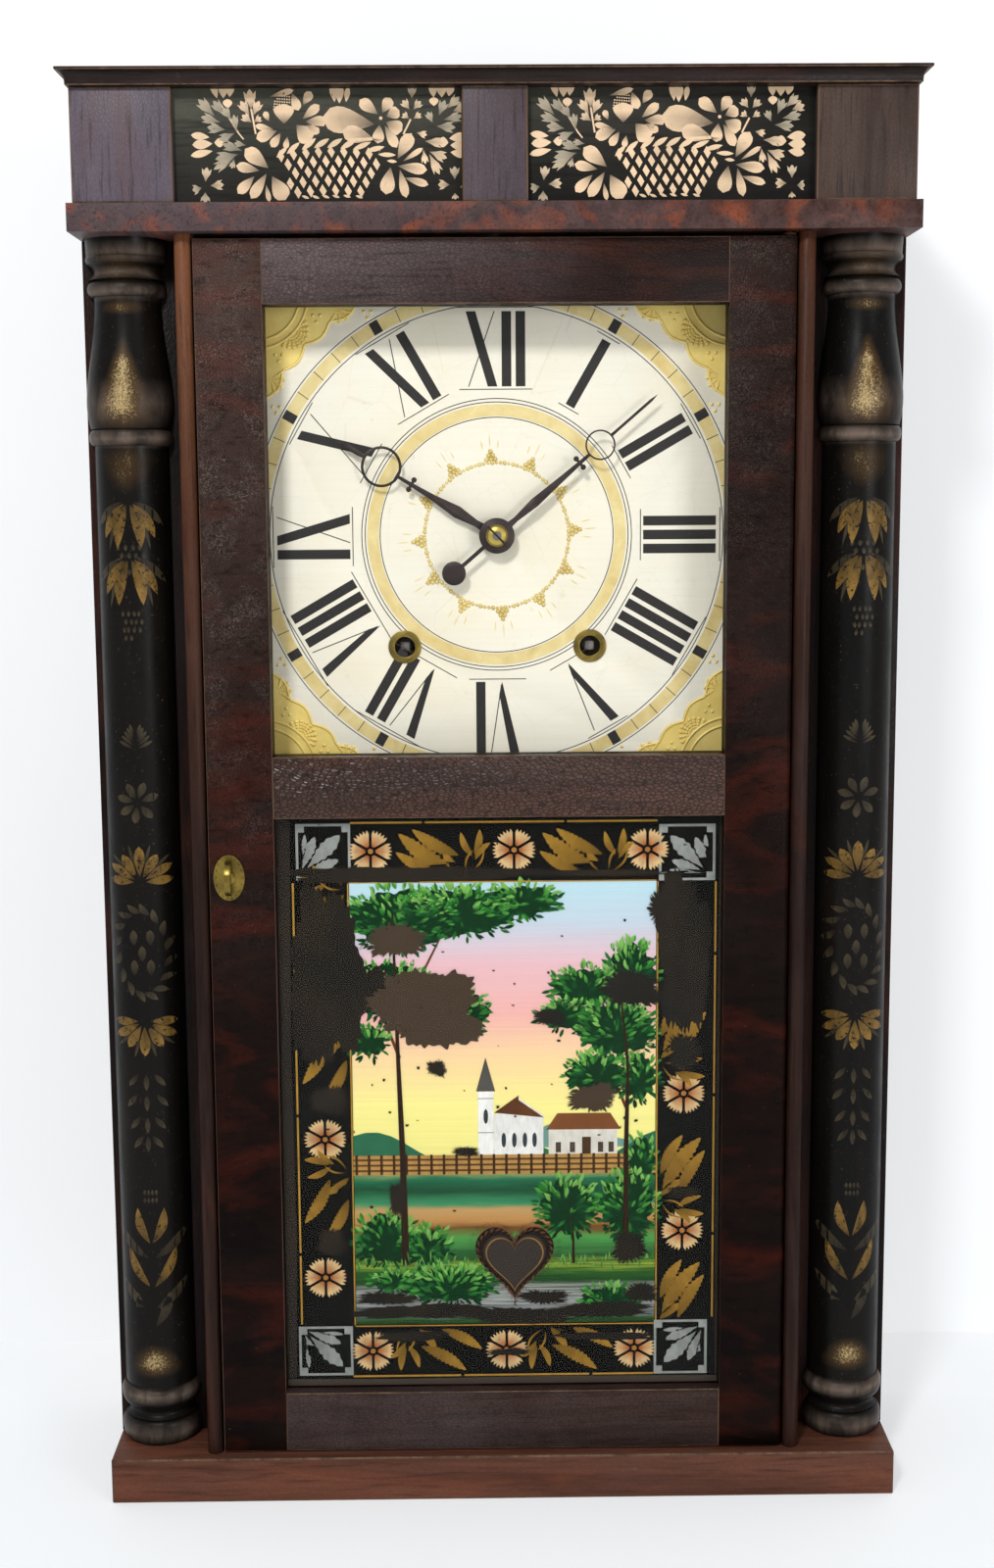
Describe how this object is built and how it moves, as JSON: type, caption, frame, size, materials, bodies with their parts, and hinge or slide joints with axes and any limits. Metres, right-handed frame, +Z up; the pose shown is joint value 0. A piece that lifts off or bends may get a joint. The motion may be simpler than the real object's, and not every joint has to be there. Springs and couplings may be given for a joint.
{
  "type": "half-column shelf clock",
  "caption": "Tall shelf clock in dark mahogany with black half columns, stencilled cornice, glazed door with painted tablet, and a weight-driven wooden movement.",
  "frame": {"origin": "middle of the whole clock in width and depth, at the underside of the base", "axes": "+X to the right seen from the front, +Y from the door towards the back boards, +Z up"},
  "size_m": [0.453, 0.1404, 0.789],
  "materials": {
    "dark_mahogany": "old shellac over dark red-brown veneer",
    "bead_mahogany": "old shellac, worn bright on the nose",
    "door_mahogany": "old shellac over crotch veneer",
    "crackled_mahogany": "crazed old shellac",
    "ebonised_wood": "black paint with worn bronze stencilling",
    "stencilled_panel": "black paint with stencilled bronze powder",
    "old_pine": "bare, aged",
    "painted_dial": "cream oil paint with gilt",
    "brass": "old polished brass",
    "hand_steel": "browned steel",
    "steel_wire": "drawn wire",
    "iron": "rusty black",
    "oak": "planed, unfinished",
    "cherry": "turned, unfinished",
    "bob_brass": "dull brass",
    "cord": "twisted cord",
    "clear_glass": "old hand-blown glass",
    "painted_glass": "painted on the back"
  },
  "bodies": {
    "root": {"base_plinth": "dark_mahogany", "bottom_board": "old_pine", "side_boards": "dark_mahogany", "stile_boards": "dark_mahogany", "bead_strips": "bead_mahogany", "column_left": "ebonised_wood", "column_right": "ebonised_wood", "cornice_board": "dark_mahogany", "frieze_board": "stencilled_panel", "frieze_blocks": "dark_mahogany", "frieze_sides": "dark_mahogany", "cap_board": "dark_mahogany", "back_boards": "old_pine", "dial_board": "painted_dial", "winding_grommets": "brass", "dial_strips": "old_pine", "dial_buttons": "cherry", "hinge_nails": "iron", "movement_battens": "old_pine", "front_plate": "oak", "back_plate": "oak", "plate_pillars": "cherry", "suspension_post": "steel_wire", "bell": "brass", "bell_stand": "iron", "pulley_blocks": "oak", "weight_cords": "cord", "time_cord_fall": "cord", "strike_cord_fall": "cord"},
    "door": {"door_stile_left": "door_mahogany", "door_stile_right": "door_mahogany", "door_top_rail": "door_mahogany", "door_middle_rail": "crackled_mahogany", "door_bottom_rail": "door_mahogany", "dial_glass": "clear_glass", "tablet_glass": "painted_glass", "glazing_strips": "door_mahogany", "escutcheon": "brass"},
    "latch": {"door_latch": "brass"},
    "time_weight": {"time_weight": "iron"},
    "strike_weight": {"strike_weight": "iron"},
    "time_drum": {"time_drum": "cherry"},
    "strike_drum": {"strike_drum": "cherry"},
    "time_pulley": {"time_pulley": "oak"},
    "strike_pulley": {"strike_pulley": "oak"},
    "time_great_wheel": {"time_great_wheel": "cherry"},
    "hour_arbor": {"hour_arbor": "cherry"},
    "third_arbor": {"third_arbor": "cherry"},
    "escape_arbor": {"escape_arbor": "cherry"},
    "minute_work": {"minute_arbor": "steel_wire", "minute_hand": "hand_steel"},
    "hour_work": {"hour_pipe": "cherry", "hour_hand": "hand_steel"},
    "verge": {"verge": "steel_wire"},
    "pendulum": {"pendulum": "bob_brass"},
    "strike_great_wheel": {"strike_great_wheel": "cherry"},
    "pin_arbor": {"pin_arbor": "cherry"},
    "warning_arbor": {"warning_arbor": "cherry"},
    "fly": {"fly": "cherry"},
    "hammer": {"hammer": "steel_wire"}
  },
  "joints": [
    {"name": "door_swing", "type": "hinge", "parent": "root", "child": "door", "pos_m": [0.156, -0.05015, 0.36595], "axis": [0, 0, 1], "range_deg": [0, 95]},
    {"name": "latch_turn", "type": "hinge", "parent": "door", "child": "latch", "pos_m": [-0.149, -0.05475, 0.36245], "axis": [0, -1, 0], "range_deg": [0, 90]},
    {"name": "time_weight_rise", "type": "slide", "parent": "root", "child": "time_weight", "axis": [0, 0, 1], "range_m": [0, 0.44], "deforming": ["time_cord_fall"]},
    {"name": "time_drum_turn", "type": "hinge", "parent": "root", "child": "time_drum", "pos_m": [0.0518, 0.02324, 0.48635], "axis": [0, -1, 0], "range_deg": [0, 1660]},
    {"name": "time_pulley_turn", "type": "hinge", "parent": "root", "child": "time_pulley", "pos_m": [0.1483, 0.02324, 0.6845], "axis": [0, -1, 0], "range_deg": [0, 1558]},
    {"name": "strike_weight_rise", "type": "slide", "parent": "root", "child": "strike_weight", "axis": [0, 0, 1], "range_m": [0, 0.44], "deforming": ["strike_cord_fall"]},
    {"name": "strike_drum_turn", "type": "hinge", "parent": "root", "child": "strike_drum", "pos_m": [-0.0518, 0.02324, 0.48635], "axis": [0, 1, 0], "range_deg": [0, 1660]},
    {"name": "strike_pulley_turn", "type": "hinge", "parent": "root", "child": "strike_pulley", "pos_m": [-0.1483, 0.02324, 0.6845], "axis": [0, 1, 0], "range_deg": [0, 1558]},
    {"name": "hour_arbor_turn", "type": "hinge", "parent": "root", "child": "hour_arbor", "pos_m": [0.03111, 0.00625, 0.52799], "axis": [0, -1, 0], "continuous": true},
    {"name": "time_great_wheel_turn", "type": "hinge", "parent": "root", "child": "time_great_wheel", "pos_m": [0.0518, 0.00625, 0.48635], "axis": [0, -1, 0], "continuous": true},
    {"name": "third_arbor_turn", "type": "hinge", "parent": "root", "child": "third_arbor", "pos_m": [0.01609, 0.00625, 0.56722], "axis": [0, -1, 0], "continuous": true},
    {"name": "escape_arbor_turn", "type": "hinge", "parent": "root", "child": "escape_arbor", "pos_m": [-0.014, 0.00625, 0.59195], "axis": [0, -1, 0], "continuous": true},
    {"name": "minute_work_turn", "type": "hinge", "parent": "root", "child": "minute_work", "pos_m": [0, 0.00625, 0.54795], "axis": [0, -1, 0], "continuous": true},
    {"name": "hour_work_turn", "type": "hinge", "parent": "root", "child": "hour_work", "pos_m": [0, 0.00625, 0.54795], "axis": [0, -1, 0], "continuous": true},
    {"name": "pendulum_swing", "type": "hinge", "parent": "root", "child": "pendulum", "pos_m": [-0.014, 0.00625, 0.62695], "axis": [0, 1, 0], "range_deg": [-3.5, 3.5]},
    {"name": "verge_rock", "type": "hinge", "parent": "root", "child": "verge", "pos_m": [-0.014, 0.00625, 0.62695], "axis": [0, 1, 0], "range_deg": [-3.6, 3.6]},
    {"name": "pin_arbor_turn", "type": "hinge", "parent": "root", "child": "pin_arbor", "pos_m": [-0.03111, 0.00625, 0.52799], "axis": [0, 1, 0], "continuous": true},
    {"name": "strike_great_wheel_turn", "type": "hinge", "parent": "root", "child": "strike_great_wheel", "pos_m": [-0.0518, 0.00625, 0.48635], "axis": [0, 1, 0], "continuous": true},
    {"name": "warning_arbor_turn", "type": "hinge", "parent": "root", "child": "warning_arbor", "pos_m": [-0.04068, 0.00625, 0.5543], "axis": [0, 1, 0], "continuous": true},
    {"name": "fly_turn", "type": "hinge", "parent": "root", "child": "fly", "pos_m": [-0.04428, 0.00625, 0.57469], "axis": [0, 1, 0], "continuous": true},
    {"name": "hammer_swing", "type": "hinge", "parent": "root", "child": "hammer", "pos_m": [-0.075, 0.00625, 0.54295], "axis": [0, -1, 0], "range_deg": [0, 10], "stiffness_Nm_per_rad": 0.05, "springref_deg": -2.86}
  ],
  "couplings": [
    {"joint": "time_drum_turn", "follows": "time_weight_rise", "rad_per_m": 65.789},
    {"joint": "time_pulley_turn", "follows": "time_weight_rise", "rad_per_m": 61.728},
    {"joint": "strike_drum_turn", "follows": "strike_weight_rise", "rad_per_m": 65.789},
    {"joint": "strike_pulley_turn", "follows": "strike_weight_rise", "rad_per_m": 61.728},
    {"joint": "time_great_wheel_turn", "follows": "hour_arbor_turn", "ratio": -0.14815},
    {"joint": "third_arbor_turn", "follows": "hour_arbor_turn", "ratio": -9},
    {"joint": "escape_arbor_turn", "follows": "hour_arbor_turn", "ratio": 83.25},
    {"joint": "minute_work_turn", "follows": "hour_arbor_turn", "ratio": -1},
    {"joint": "hour_work_turn", "follows": "hour_arbor_turn", "ratio": -0.083333},
    {"joint": "verge_rock", "follows": "pendulum_swing", "ratio": 1},
    {"joint": "strike_great_wheel_turn", "follows": "pin_arbor_turn", "ratio": -0.14815},
    {"joint": "warning_arbor_turn", "follows": "pin_arbor_turn", "ratio": -6},
    {"joint": "fly_turn", "follows": "pin_arbor_turn", "ratio": 40}
  ]
}
